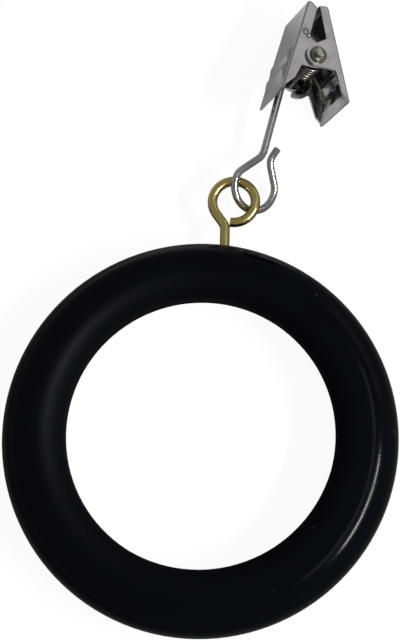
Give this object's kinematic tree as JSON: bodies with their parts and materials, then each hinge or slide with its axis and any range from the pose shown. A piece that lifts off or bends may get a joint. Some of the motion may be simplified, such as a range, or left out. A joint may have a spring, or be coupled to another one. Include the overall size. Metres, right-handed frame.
{
  "type": "curtain ring with clip",
  "caption": "Black turned wooden curtain ring that runs on a pole, with a brass screw eye, a loose wire hook and a sprung metal clip whose jaws grip the curtain's edge.",
  "frame": {"origin": "centre of the ring's bore, on the ring's middle plane", "axes": "+Z along the bore, up from the face the ring lies on; +Y from the bore to the screw eye's place in the rim; +X completes the frame"},
  "size_m": [0.073, 0.1219, 0.0162],
  "materials": {
    "ring_paint": "satin black paint",
    "eye_brass": "bright brass plate",
    "hook_nickel": "bright nickel plate",
    "jaw_nickel": "nickel plate, satin",
    "pin_nickel": "nickel plate",
    "spring_steel": "bare spring wire"
  },
  "bodies": {
    "ring": {"wooden_ring": "ring_paint", "screw_eye": "eye_brass"},
    "hook": {"wire_hook": "hook_nickel"},
    "front_half": {"front_jaw": "jaw_nickel"},
    "rear_half": {"rear_jaw": "jaw_nickel", "pivot_pin": "pin_nickel", "torsion_spring": "spring_steel"}
  },
  "joints": [
    {"name": "hook_swing", "type": "hinge", "parent": "ring", "child": "hook", "pos_m": [0.00064, 0.04474, 0], "axis": [0, 0, 1], "range_deg": [-70, 100]},
    {"name": "clip_turn", "type": "hinge", "parent": "hook", "child": "front_half", "pos_m": [0.01092, 0.0724, 0.00195], "axis": [0.4161, 0.1446, 0.8977], "range_deg": [-20, 4]},
    {"name": "jaw_open", "type": "hinge", "parent": "front_half", "child": "rear_half", "pos_m": [0.01092, 0.0724, 0.00195], "axis": [-0.4161, -0.1446, -0.8977], "range_deg": [0, 30], "stiffness_Nm_per_rad": 0.06, "springref_deg": -47.56, "deforming": ["torsion_spring"]}
  ]
}
